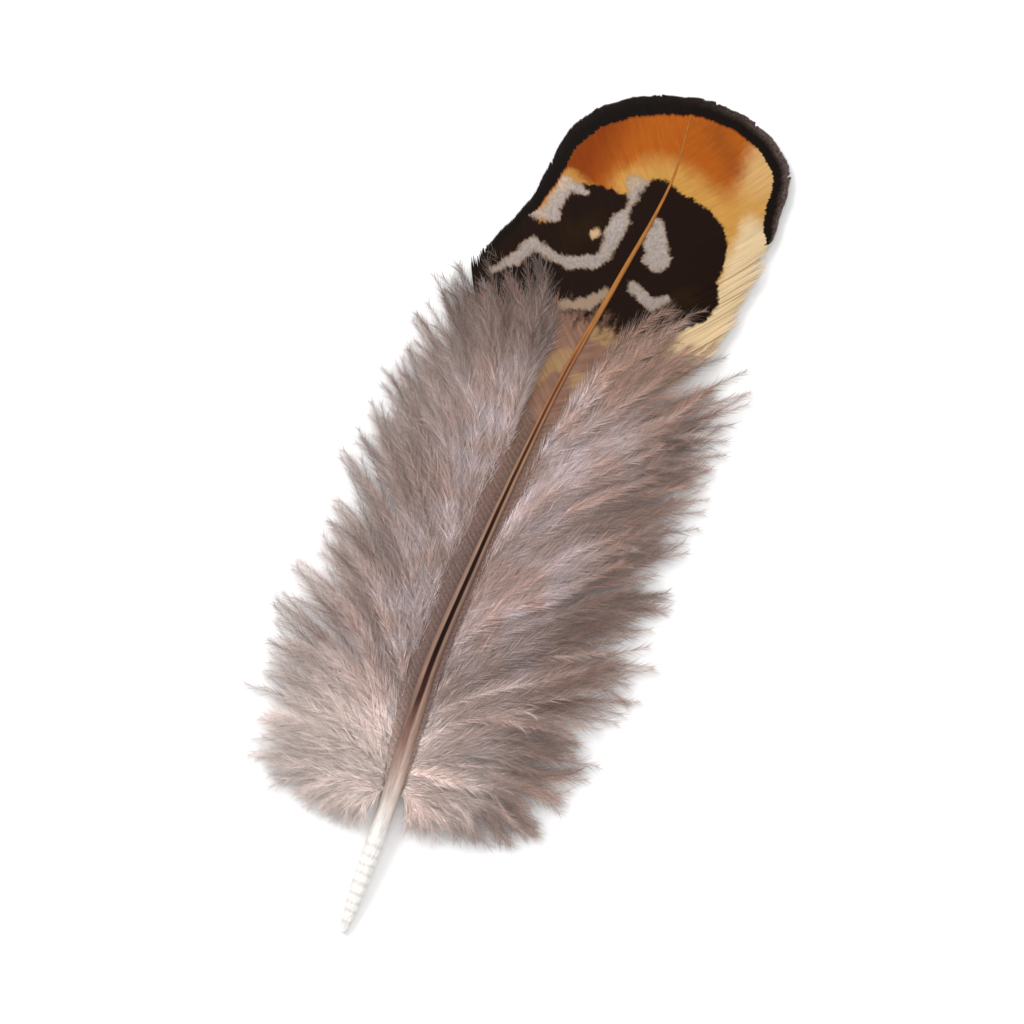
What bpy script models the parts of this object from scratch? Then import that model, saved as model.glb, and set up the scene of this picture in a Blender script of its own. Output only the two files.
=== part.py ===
"""A pheasant's body feather, lying with its patterned side up.

The quill points along -Y and the tip along +Y. The feather lies on the plane Z = 0.
The origin is the middle of the flat underside of the afterfeather, on that plane.

Pieces: the shaft (quill and rachis), a stiff vane and a bank of down on each side,
and the small downy afterfeather under the shaft.
"""

import math

import bmesh
import bpy

MM = 0.001

# Driving dimensions, in millimetres
TIP_Y = 58.9
QUILL_END_Y = -32.0
DOWN_START_Y = -16.4
VANE_START_Y = 20.6
VANE_THICKNESS = 0.4
DOWN_THICKNESS = 2.8
AFTERFEATHER_START_Y = -16.0
AFTERFEATHER_END_Y = 16.0
AFTERFEATHER_HALF_WIDTH = 5.8
AFTERFEATHER_HEIGHT = 1.4
GAP = 0.3

# How far a barb bows, as a share of its length, and how late the sheets fall away from the shaft
VANE_BOW = 0.05
DOWN_BOW = 0.06
VANE_FALL = 1.7
DOWN_FALL = 2.2

# How far the last barbs' roots lie behind the tip and behind the first vane barb
VANE_ROOT_SETBACK = 1.4
DOWN_ROOT_SETBACK = 1.6

# Widest places of the afterfeather's ends, as shares of its half width and half length
LEAF_QUILL_SHOULDER = 0.75
LEAF_TIP_SHOULDER = 0.7

# Fineness of the meshes: faces across and along a sheet, rings and steps round a curve
VANE_GRID = (10, 20)
DOWN_GRID = (3, 6)
DOWN_SMOOTHING = 2
SHAFT_STATION_COUNT = 44
SHAFT_SIDES_RESOLUTION = 3
LEAF_STEPS = 6
WELD_DISTANCE = 0.01

# Base colours in linear red, green and blue
KERATIN_BROWN = (0.36, 0.19, 0.10)
VANE_GOLD = (0.45, 0.22, 0.06)
DOWN_GREY = (0.38, 0.31, 0.29)

# Shaft: distance along the feather, sideways place, height of the middle and radius
SHAFT = (
    (QUILL_END_Y, 0.04, 0.70, 0.26),
    (-30.6, 0.00, 0.95, 0.55),
    (-27.0, -0.20, 1.50, 0.83),
    (-22.0, -0.46, 2.20, 0.91),
    (-17.4, -0.78, 2.75, 0.90),
    (-10.0, -1.55, 3.20, 0.86),
    (-3.2, -2.10, 3.55, 0.74),
    (6.6, -2.00, 3.95, 0.60),
    (18.4, -1.60, 4.30, 0.43),
    (27.8, -1.00, 4.25, 0.34),
    (38.6, 0.30, 3.80, 0.26),
    (49.8, 1.45, 2.80, 0.13),
    (57.0, 0.70, 1.80, 0.07),
)

# Outer edges, from the quill end of each piece to its tip: sideways place and distance along
VANE_LEFT_EDGE = (
    (-13.9, 34.9), (-12.4, 39.1), (-10.9, 43.2), (-10.5, 46.8),
    (-10.1, 50.6), (-8.5, 53.7), (-5.3, 56.4), (-1.9, 57.8), (0.5, 58.6),
)
VANE_RIGHT_EDGE = (
    (12.0, 36.0), (12.8, 41.5), (13.1, 46.0), (12.9, 51.0),
    (11.9, 55.2), (9.6, 57.3), (6.6, 58.5), (3.4, TIP_Y), (1.0, 58.8),
)
DOWN_LEFT_EDGE = (
    (-3.6, -21.4), (-11.6, -20.4), (-18.2, -12.0), (-19.4, -1.0),
    (-18.9, 13.0), (-18.0, 25.0), (-15.8, 35.2),
)
DOWN_RIGHT_EDGE = (
    (3.4, -20.2), (10.8, -18.4), (17.0, -11.0), (18.4, 0.0),
    (18.0, 13.0), (17.2, 25.0), (14.0, 36.2),
)

# Heights of the sheets' middles at their outer edges
VANE_EDGE_HEIGHT = 1.6
VANE_TIP_HEIGHT = 1.3
DOWN_ROOT_LIFT = 0.9
DOWN_EDGE_HEIGHT = 1.2


def smooth(stations, y):
    """The values at distance y, on a Catmull-Rom curve through stations that start with a distance."""
    last = len(stations) - 1
    k = 0
    while k < last - 1 and y > stations[k + 1][0]:
        k += 1
    before, start = stations[max(k - 1, 0)], stations[k]
    end, after = stations[k + 1], stations[min(k + 2, last)]
    span = end[0] - start[0]
    t = min(max((y - start[0]) / span, 0.0), 1.0)
    values = []
    for i in range(1, len(start)):
        leave = (end[i] - before[i]) / max(end[0] - before[0], span) * span
        arrive = (after[i] - start[i]) / max(after[0] - start[0], span) * span
        values.append(
            (2 * t**3 - 3 * t**2 + 1) * start[i]
            + (t**3 - 2 * t**2 + t) * leave
            + (3 * t**2 - 2 * t**3) * end[i]
            + (t**3 - t**2) * arrive
        )
    return values


def along(edge, share):
    """The point that lies a share of the way along a smooth line through an edge's points."""
    lengths = [math.dist(a, b) for a, b in zip(edge, edge[1:])]
    walked = [0.0]
    for length in lengths:
        walked.append(walked[-1] + length)
    stations = [(d, *p) for d, p in zip(walked, edge)]
    return smooth(stations, share * walked[-1])


def shaft_side(y, side, gap):
    """The place just beside the shaft: sideways, along and height of the shaft's middle."""
    x, z, radius = smooth(SHAFT, y)
    return x + side * (radius + gap), y, z


def barb_point(root, tip, share, bow):
    """A point on a barb that bows towards the quill on its way from the shaft to the outer edge."""
    x = root[0] + (tip[0] - root[0]) * share
    y = root[1] + (tip[1] - root[1]) * share
    length = math.dist(root[:2], tip[:2])
    dip = 4 * share * (1 - share) * bow * length
    side = math.copysign(1.0, tip[0] - root[0])
    x += dip * side * abs(tip[1] - root[1]) / length
    y -= dip * abs(tip[0] - root[0]) / length
    return x, y


def new_collection(name):
    collection = bpy.data.collections.new(name)
    bpy.context.scene.collection.children.link(collection)
    return collection


def material(name, colour, roughness):
    """A plain finish without metal."""
    finish = bpy.data.materials.new(name)
    finish.use_nodes = True
    shader = finish.node_tree.nodes["Principled BSDF"]
    shader.inputs["Base Color"].default_value = (*colour, 1.0)
    shader.inputs["Roughness"].default_value = roughness
    shader.inputs["Metallic"].default_value = 0.0
    return finish


def add_piece(name, mesh, finish, collection):
    mesh.materials.clear()
    mesh.materials.append(finish)
    mesh.shade_smooth()
    piece = bpy.data.objects.new(name, mesh)
    collection.objects.link(piece)
    return piece


def sheet_mesh(name, place, grid, side):
    """A grid sheet. place(share along the shaft, share towards the edge) gives millimetres."""
    sheet = bmesh.new()
    bmesh.ops.create_grid(sheet, x_segments=grid[0], y_segments=grid[1], size=0.5)
    for vertex in sheet.verts:
        vertex.co = [c * MM for c in place(vertex.co.y + 0.5, vertex.co.x + 0.5)]
    if side < 0:
        bmesh.ops.reverse_faces(sheet, faces=sheet.faces[:])
    mesh = bpy.data.meshes.new(name)
    sheet.to_mesh(mesh)
    sheet.free()
    return mesh


def thicken(piece, thickness):
    modifier = piece.modifiers.new("thickness", "SOLIDIFY")
    modifier.thickness = thickness * MM
    modifier.offset = 0.0


def build_shaft(collection):
    """The quill and rachis: one tapered rod along a slight S."""
    curve = bpy.data.curves.new("shaft", "CURVE")
    curve.dimensions = "3D"
    curve.bevel_depth = MM
    curve.bevel_resolution = SHAFT_SIDES_RESOLUTION
    curve.use_fill_caps = True
    spline = curve.splines.new("POLY")
    spline.points.add(SHAFT_STATION_COUNT - 1)
    start, end = SHAFT[0][0], SHAFT[-1][0]
    for k, point in enumerate(spline.points):
        share = k / (SHAFT_STATION_COUNT - 1)
        # Stations lie closer together near both ends, where the radius changes most
        eased = 0.5 * share + 0.25 * (1 - math.cos(math.pi * share))
        y = start + (end - start) * eased
        x, z, radius = smooth(SHAFT, y)
        point.co = (x * MM, y * MM, z * MM, 1.0)
        point.radius = radius
    curve.materials.append(material("shaft_keratin", KERATIN_BROWN, 0.35))
    piece = bpy.data.objects.new("shaft", curve)
    collection.objects.link(piece)


def build_vane(name, edge, side, finish, collection):
    """One stiff vane: a thin sheet that falls away from the shaft to the outer edge."""
    root_end = edge[-1][1] - VANE_ROOT_SETBACK

    def place(t, share):
        root_y = VANE_START_Y + (root_end - VANE_START_Y) * t
        root = shaft_side(root_y, side, GAP)
        x, y = barb_point(root, along(edge, t), share, VANE_BOW)
        edge_height = VANE_EDGE_HEIGHT + (VANE_TIP_HEIGHT - VANE_EDGE_HEIGHT) * t
        z = root[2] + (edge_height - root[2]) * share**VANE_FALL
        return x, y, z

    mesh = sheet_mesh(name, place, VANE_GRID, side)
    thicken(add_piece(name, mesh, finish, collection), VANE_THICKNESS)


def build_down(name, edge, side, finish, collection):
    """One bank of down: a soft pad beside the shaft that drapes from it to the ground."""
    root_end = VANE_START_Y - DOWN_ROOT_SETBACK
    lowest_root = AFTERFEATHER_HEIGHT + 2 * GAP + DOWN_THICKNESS / 2

    def place(t, share):
        root_y = DOWN_START_Y + (root_end - DOWN_START_Y) * t
        root = shaft_side(root_y, side, GAP)
        x, y = barb_point(root, along(edge, t), share, DOWN_BOW)
        root_height = max(root[2] + DOWN_ROOT_LIFT, lowest_root)
        z = root_height + (DOWN_EDGE_HEIGHT - root_height) * share**DOWN_FALL
        return x, y, z

    mesh = sheet_mesh(name, place, DOWN_GRID, side)
    piece = add_piece(name, mesh, finish, collection)
    thicken(piece, DOWN_THICKNESS)
    soften = piece.modifiers.new("soften", "SUBSURF")
    soften.levels = soften.render_levels = DOWN_SMOOTHING


def build_afterfeather(finish, collection):
    """The afterfeather: a flat leaf under the shaft, on the ground, with a soft upper rim."""
    curve = bpy.data.curves.new("afterfeather", "CURVE")
    curve.dimensions = "2D"
    curve.fill_mode = "BOTH"
    curve.extrude = AFTERFEATHER_HEIGHT / 2 * MM
    curve.resolution_u = LEAF_STEPS
    spline = curve.splines.new("BEZIER")
    middle = (AFTERFEATHER_START_Y + AFTERFEATHER_END_Y) / 2
    half_length = (AFTERFEATHER_END_Y - AFTERFEATHER_START_Y) / 2
    shape = (
        (0.0, -1.0),
        (LEAF_QUILL_SHOULDER, -LEAF_QUILL_SHOULDER),
        (1.0, 0.0),
        (LEAF_TIP_SHOULDER, LEAF_TIP_SHOULDER),
        (0.0, 1.0),
        (-LEAF_TIP_SHOULDER, LEAF_TIP_SHOULDER),
        (-1.0, 0.0),
        (-LEAF_QUILL_SHOULDER, -LEAF_QUILL_SHOULDER),
    )
    spline.bezier_points.add(len(shape) - 1)
    for point, (x, y) in zip(spline.bezier_points, shape):
        point.co = (x * AFTERFEATHER_HALF_WIDTH * MM, (middle + y * half_length) * MM, 0.0)
        point.handle_left_type = point.handle_right_type = "AUTO"
    spline.use_cyclic_u = True
    outline = bpy.data.objects.new("afterfeather_outline", curve)
    collection.objects.link(outline)
    bpy.context.view_layer.update()
    evaluated = outline.evaluated_get(bpy.context.evaluated_depsgraph_get())
    mesh = bpy.data.meshes.new_from_object(evaluated)
    bpy.data.objects.remove(outline)

    leaf = bmesh.new()
    leaf.from_mesh(mesh)
    bmesh.ops.remove_doubles(leaf, verts=leaf.verts, dist=WELD_DISTANCE * MM)
    bmesh.ops.translate(leaf, verts=leaf.verts, vec=(0, 0, AFTERFEATHER_HEIGHT / 2 * MM))
    bmesh.ops.recalc_face_normals(leaf, faces=leaf.faces)
    leaf.to_mesh(mesh)
    leaf.free()
    add_piece("afterfeather", mesh, finish, collection)


def main():
    for old in list(bpy.data.objects):
        bpy.data.objects.remove(old)
    collection = new_collection("pheasant_feather")
    vane = material("barred_vane", VANE_GOLD, 0.55)
    down = material("grey_down", DOWN_GREY, 0.9)
    build_shaft(collection)
    build_vane("vane_left", VANE_LEFT_EDGE, -1, vane, collection)
    build_vane("vane_right", VANE_RIGHT_EDGE, 1, vane, collection)
    build_down("down_left", DOWN_LEFT_EDGE, -1, down, collection)
    build_down("down_right", DOWN_RIGHT_EDGE, 1, down, collection)
    build_afterfeather(down, collection)


main()
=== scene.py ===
"""Looks of a pheasant's body feather, barb by barb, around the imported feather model.

The file is laid out as an add-on and is run as a script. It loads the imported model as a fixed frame,
registers its operators and runs them in order: stage, shaft, vanes, down and afterfeather.
Lengths in the tables are in millimetres, and the scene is in metres.
"""

import math

import bpy
import numpy as np
from bpy.props import FloatProperty, FloatVectorProperty, IntProperty, PointerProperty
from mathutils import Matrix, Vector


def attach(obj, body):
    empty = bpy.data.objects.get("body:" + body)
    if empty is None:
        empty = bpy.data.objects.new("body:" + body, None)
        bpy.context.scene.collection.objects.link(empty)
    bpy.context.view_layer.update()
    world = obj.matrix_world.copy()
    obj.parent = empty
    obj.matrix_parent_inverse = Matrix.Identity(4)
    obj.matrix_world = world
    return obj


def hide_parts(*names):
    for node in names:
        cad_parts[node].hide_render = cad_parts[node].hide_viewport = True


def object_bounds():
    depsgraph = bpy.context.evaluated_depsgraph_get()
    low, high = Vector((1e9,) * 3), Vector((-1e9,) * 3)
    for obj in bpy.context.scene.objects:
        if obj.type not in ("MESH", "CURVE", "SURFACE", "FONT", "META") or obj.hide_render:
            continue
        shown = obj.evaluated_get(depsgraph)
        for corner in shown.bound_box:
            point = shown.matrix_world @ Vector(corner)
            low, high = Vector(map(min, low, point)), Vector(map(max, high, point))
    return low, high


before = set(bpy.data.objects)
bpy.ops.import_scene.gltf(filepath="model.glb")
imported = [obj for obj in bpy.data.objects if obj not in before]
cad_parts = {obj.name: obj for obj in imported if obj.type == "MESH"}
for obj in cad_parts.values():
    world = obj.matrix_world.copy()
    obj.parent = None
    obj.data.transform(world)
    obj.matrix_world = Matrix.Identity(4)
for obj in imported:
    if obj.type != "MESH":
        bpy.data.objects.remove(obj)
CAD_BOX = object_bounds()

bl_info = {
    "name": "Pheasant Feather",
    "version": (1, 0, 0),
    "blender": (4, 5, 0),
    "location": "3D View > Sidebar > Feather",
    "description": "Grows a pheasant's body feather: shaft, barred vanes, down and afterfeather",
    "category": "Add Mesh",
}

MM = 0.001
BODY = "root"
# The lowest that a barbule reaches
GROUND = 0.02 * MM

# Place along the feather of the vanes' first barbs, and how far the widest barb reaches sideways
VANE_START = 20.6
VANE_REACH = 12.5
# Heights of a vane's outer edge at its quill end and at its tip, and how late a barb falls to it
VANE_EDGE_HEIGHT = 1.6
VANE_TIP_HEIGHT = 1.3
VANE_FALL = 1.7
# How far the flat side of a ribbon leans outward, and the faces round it
RIBBON_TILT = 0.1
RIBBON_SIDES = 4

# Outer edges, from the quill end of each piece to its tip: sideways place and distance along
VANE_EDGES = {
    -1: (
        (-13.9, 34.9), (-12.4, 39.1), (-10.9, 43.2), (-10.5, 46.8),
        (-10.1, 50.6), (-8.5, 53.7), (-5.3, 56.5), (-1.9, 58.1), (1.4, 59.1),
    ),
    1: (
        (12.0, 36.0), (12.8, 41.5), (13.1, 46.0), (12.9, 51.0),
        (12.15, 55.35), (9.85, 57.65), (6.7, 58.85), (3.4, 59.2), (0.4, 58.9),
    ),
}
# Black edge: share of the way along the outer edge, and width
EDGE_WIDTHS = {
    -1: ((0.0, 1.0), (0.25, 1.05), (0.39, 1.6), (0.5, 2.05), (0.8, 2.0), (1.0, 1.9)),
    1: ((0.36, 0.1), (0.4, 0.7), (0.45, 1.4), (0.54, 2.2), (0.64, 1.95), (0.8, 1.8), (1.0, 1.85)),
}
# Places where a vane's barbs have come apart: share along, where it starts, half gap and spread
VANE_SPLITS = {
    -1: ((0.42, 0.75, 0.12, 0.03), (0.86, 0.88, 0.14, 0.015)),
    1: (
        (0.93, 0.88, 0.3, 0.015), (0.79, 0.9, 0.24, 0.015), (0.6, 0.88, 0.2, 0.015),
        (0.36, 0.8, 0.12, 0.02), (0.2, 0.7, 0.12, 0.02),
    ),
}
# Outer edge of the down, from the quill upward: a barb's tip, sideways and along, and its root
DOWN_FANS = {
    -1: (
        (-2.8, -21.8, -16.4), (-8.8, -22.0, -16.3), (-15.4, -18.8, -16.0), (-18.2, -11.0, -15.0),
        (-18.4, -2.0, -12.5), (-18.2, 6.0, -9.0), (-17.8, 14.5, -4.0), (-16.8, 22.5, 2.0),
        (-16.2, 30.5, 7.5), (-14.6, 36.0, 12.0), (-11.0, 38.4, 15.5), (-7.6, 37.6, 19.0),
        (-5.8, 34.8, 21.5),
    ),
    1: (
        (3.0, -19.8, -16.4), (8.0, -19.0, -16.2), (13.6, -16.0, -15.8), (17.0, -9.0, -14.8),
        (17.8, -1.0, -12.5), (17.6, 7.0, -9.0), (17.2, 15.0, -4.0), (16.6, 23.0, 2.0),
        (16.2, 30.0, 7.0), (14.6, 35.8, 12.0), (10.6, 38.4, 16.5), (7.0, 37.6, 19.5),
        (5.2, 35.6, 21.5),
    ),
}
# Layers of down. Share is their part of the strands, span where along the fan they stand, tuft the
# barbs in a tuft, gather how far these close up, turn how much tufts differ in heading, lift how high
# they stand, and shortest and longest their length as a share of the way to the outer edge
DOWN_LAYERS = {
    "under": {
        "seed": 21, "share": 0.9, "span": (0, 0.86), "tuft": 8, "gather": 0.1, "turn": 0.3, "lift": 0.3,
        "shortest": 0.92, "longest": 1.02, "on_top": False,
    },
    "over": {
        "seed": 22, "share": 1.0, "span": (0, 1), "tuft": 7, "gather": 0.42, "turn": 0.55, "lift": 1.5,
        "shortest": 0.58, "longest": 1.0, "on_top": True,
    },
    "brow": {
        "seed": 23, "share": 0.62, "span": (0.6, 1), "tuft": 6, "gather": 0.3, "turn": 0.5, "lift": 1.0,
        "shortest": 0.82, "longest": 1.03, "on_top": True,
    },
}
# Flat comb beside the shaft, where the barbs aren't downy yet: place along and width
COMB_WIDTHS = {
    -1: ((-16.2, 0.4), (-12.0, 1.2), (-7.0, 2.1), (10.0, 2.4), (16.0, 3.1), (22.5, 4.2)),
    1: ((-16.2, 0.3), (-8.0, 0.7), (5.0, 0.8), (14.0, 1.3), (22.5, 2.9)),
}
AFTERFEATHER_EDGE = ((2.6, -17.6), (5.0, -10.0), (5.6, 0.0), (4.8, 10.0), (2.4, 15.6), (0.4, 16.6))
# Where the afterfeather's thread starts, how long it is, and its radius and its barbs'
THREAD_START = -16.0
THREAD_LENGTH = 30.0
THREAD_RADIUS = 0.22
THREAD_BARB_RADIUS = 0.03

# Marks on the vanes, as bars with round ends: start, end, and the radius at each
DARK_MIDDLE = (
    ((2.2, 44.7), (4.8, 44.2), 4.7, 4.7),
    ((5.0, 38.6), (7.2, 40.2), 3.6, 3.2),
    ((-5.2, 43.0), (-3.4, 43.2), 3.7, 3.8),
    ((-9.4, 38.0), (-1.0, 38.4), 3.2, 3.8),
    ((-12.4, 36.0), (-10.8, 40.6), 2.4, 1.6),
    ((-12.0, 34.4), (4.4, 34.8), 2.0, 2.2),
    ((0.2, 46.0), (0.9, 47.8), 2.0, 1.9),
    ((1.6, 36.6), (2.6, 37.0), 2.6, 2.6),
)
WHITE_BARS = (
    ((-8.3, 45.9), (-6.0, 45.7), 0.7, 0.35),
    ((-8.2, 45.4), (-8.6, 43.0), 0.9, 0.8),
    ((-10.1, 42.0), (-8.3, 42.4), 0.6, 0.85),
    ((-2.4, 48.3), (-0.9, 48.9), 0.45, 0.4),
    ((-1.7, 48.2), (-1.4, 46.6), 1.0, 0.35),
    ((-1.5, 46.4), (-1.7, 45.2), 0.28, 0.35),
    ((-1.7, 44.5), (-1.9, 42.5), 0.9, 0.95),
    ((-1.9, 42.5), (-1.8, 40.7), 0.9, 0.6),
    ((-1.8, 40.7), (-2.7, 39.4), 0.6, 0.7),
    ((-2.7, 39.4), (-4.8, 38.5), 0.7, 0.7),
    ((-4.8, 38.5), (-7.0, 38.6), 0.7, 0.5),
    ((-7.0, 38.6), (-9.0, 39.0), 0.5, 0.65),
    ((-9.0, 39.0), (-9.8, 37.2), 0.65, 0.6),
    ((-9.8, 37.2), (-11.6, 35.0), 0.6, 0.3),
    ((1.9, 45.3), (3.0, 42.3), 0.65, 1.4),
    ((1.6, 44.7), (1.6, 43.5), 0.5, 0.5),
    ((1.9, 38.7), (3.3, 38.2), 0.65, 0.5),
    ((3.3, 38.2), (4.4, 37.8), 0.5, 0.65),
    ((4.4, 37.8), (5.5, 38.9), 0.6, 0.4),
)
CREAM_SPOT = (((-3.65, 42.2), (-3.55, 42.3), 0.4, 0.4),)
TAN_BAR = (
    ((-0.4, 37.0), (-1.6, 35.4), 0.5, 0.65),
    ((-1.6, 35.4), (-4.0, 34.3), 0.6, 0.4),
)
BUFF_PATCHES = (
    ((-4.2, 26.2), (-1.6, 29.8), 1.0, 0.9),
    ((0.2, 33.0), (4.4, 33.4), 0.75, 0.8),
    ((0.6, 28.0), (2.6, 28.4), 0.9, 0.8),
)
# Painted shadow of a fold in the vane, as a brown streak along the barbs
FOLD_SHADOW_STREAK = (((3.4, 56.6), (6.8, 53.6), 0.3, 0.4),)
RUSSET_CLOUD = (((-6.0, 41.0), (-4.0, 43.0), 0.5, 0.5), ((6.0, 38.6), (7.4, 40.0), 0.5, 0.5))


def srgb(red, green, blue):
    """A colour picker's 0 to 255 values as linear red, green and blue."""
    shares = [c / 255 for c in (red, green, blue)]
    return tuple(s / 12.92 if s <= 0.04045 else ((s + 0.055) / 1.055) ** 2.4 for s in shares)


def colour_property(name, description, default):
    return FloatVectorProperty(
        name=name, description=description, default=default, size=3, min=0, max=1, subtype="COLOR"
    )


def length_property(name, description, default):
    return FloatProperty(
        name=name, description=description, default=default, min=0, unit="LENGTH", precision=5
    )


def angle_property(name, description, degrees):
    return FloatProperty(
        name=name, description=description, default=math.radians(degrees), subtype="ANGLE"
    )


class FeatherShaftSettings(bpy.types.PropertyGroup):
    sides: IntProperty(name="Sides", description="Faces round the shaft", default=24, min=6)
    rings: IntProperty(name="Rings", description="Rings along the shaft", default=160, min=8)
    groove_depth: FloatProperty(
        name="Groove Depth",
        description="Depth of the groove along the rachis, as a share of its radius",
        default=0.3, min=0, max=1, subtype="FACTOR",
    )
    quill: colour_property("Quill", "Clear, milky quill", srgb(247, 244, 239))
    rib: colour_property("Rib", "Tan ribs beside the dark line", srgb(146, 117, 102))
    rachis: colour_property("Rachis", "Orange-brown of the upper shaft", srgb(158, 103, 52))
    groove: colour_property("Groove", "Dark line along the lower rachis", srgb(28, 10, 5))


class FeatherVaneSettings(bpy.types.PropertyGroup):
    barb_count: IntProperty(name="Barbs", description="Barbs on each side", default=140, min=8)
    barb_bow: FloatProperty(
        name="Bow", description="How far a barb bows, as a share of its length", default=0.05
    )
    orange: colour_property("Orange", "Band inside the black edge", srgb(160, 82, 23))
    rufous: colour_property("Rufous", "Left end of the band", srgb(124, 54, 13))
    gold: colour_property("Gold", "Band near the dark middle", srgb(185, 135, 67))
    cream: colour_property("Cream", "Lower right of the band", srgb(212, 185, 144))
    white: colour_property("White", "Bars across the dark middle", srgb(157, 145, 138))
    dark: colour_property("Dark", "Dark middle", srgb(28, 16, 10))
    black: colour_property("Black", "Edge", srgb(20, 15, 12))


class FeatherDownSettings(bpy.types.PropertyGroup):
    strands: IntProperty(name="Strands", description="Barbs in a layer of down", default=160, min=4)
    comb_teeth: IntProperty(name="Comb Teeth", description="Bare roots a side", default=130, min=4)
    barbule_length: length_property("Barbule Length", "Length of the finest branches", 2.6 * MM)
    barbule_radius: length_property("Barbule Radius", "Radius at the root of a barbule", 0.03 * MM)
    barbule_spacing: length_property("Barbule Spacing", "Space between barbules", 0.0745 * MM)
    stalk_radius: length_property("Stalk Radius", "Radius of a downy barb", 0.028 * MM)
    splay: angle_property("Splay", "Angle of a barbule to its barb", 25)
    roll: angle_property("Roll", "How far barbules stray round their barb", 60)
    lilac: colour_property("Lilac", "Main grey of the down", srgb(230, 211, 213))
    taupe: colour_property("Taupe", "Browner tufts and the barbs' roots", srgb(189, 149, 135))
    pale: colour_property("Pale", "Palest down near the quill", srgb(255, 237, 229))


class FeatherAfterfeatherSettings(bpy.types.PropertyGroup):
    barb_count: IntProperty(name="Barbs", description="Barbs on the thread", default=110, min=4)
    barbule_length: length_property("Barbule Length", "Length of its finest branches", 1.5 * MM)
    barbule_spacing: length_property("Barbule Spacing", "Space between its barbules", 0.09 * MM)


class FeatherStageSettings(bpy.types.PropertyGroup):
    floor: colour_property("Floor", "Plain pale floor", (0.97, 0.97, 0.97))
    lean: angle_property("Lean", "How far the feather leans in the picture", 22.7)
    key_power: FloatProperty(name="Key Power", description="Side light", default=2.7, unit="POWER")
    front_power: FloatProperty(
        name="Front Power", description="Light from straight above", default=1.5, unit="POWER"
    )
    sky: FloatProperty(name="Sky", description="Brightness of the room's light", default=0.46)


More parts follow.
